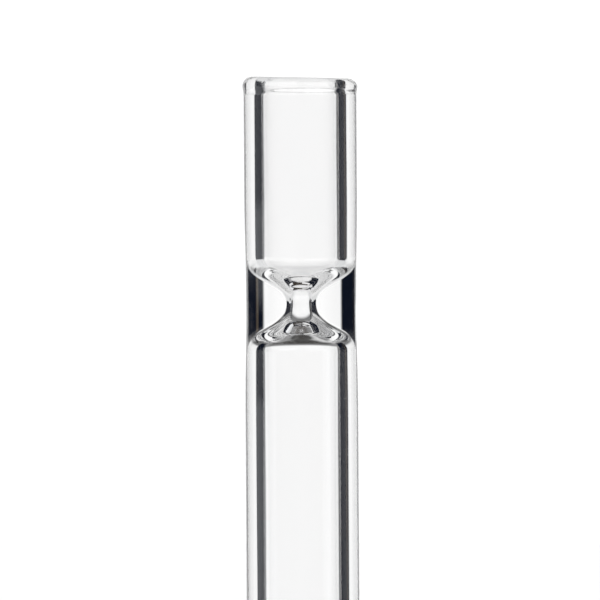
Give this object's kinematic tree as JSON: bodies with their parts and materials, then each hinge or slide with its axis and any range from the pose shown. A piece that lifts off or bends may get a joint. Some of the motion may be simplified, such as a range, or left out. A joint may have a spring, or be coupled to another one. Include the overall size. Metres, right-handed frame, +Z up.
{
  "type": "straight heavy-wall glass tube with an internal constriction",
  "caption": "Straight clear glass tube with a thick wall, a fire-polished beaded mouth, and an hourglass constriction inside that joins an upper and a lower chamber through a narrow bore.",
  "frame": {"origin": "middle of the foot, where the tube stands", "axes": "+Z up the bore, from the foot to the beaded mouth; X and Y are alike"},
  "size_m": [0.0164, 0.0162, 0.083],
  "materials": {
    "clear_glass": "drawn",
    "worked_glass": "flame worked",
    "fire_polished_glass": "fire polished"
  },
  "bodies": {
    "root": {"mouth_lip": "fire_polished_glass", "upper_tube": "clear_glass", "upper_shoulder": "worked_glass", "throat_collar": "worked_glass", "lower_shoulder": "worked_glass", "lower_tube": "clear_glass", "foot_lip": "fire_polished_glass"}
  },
  "joints": []
}
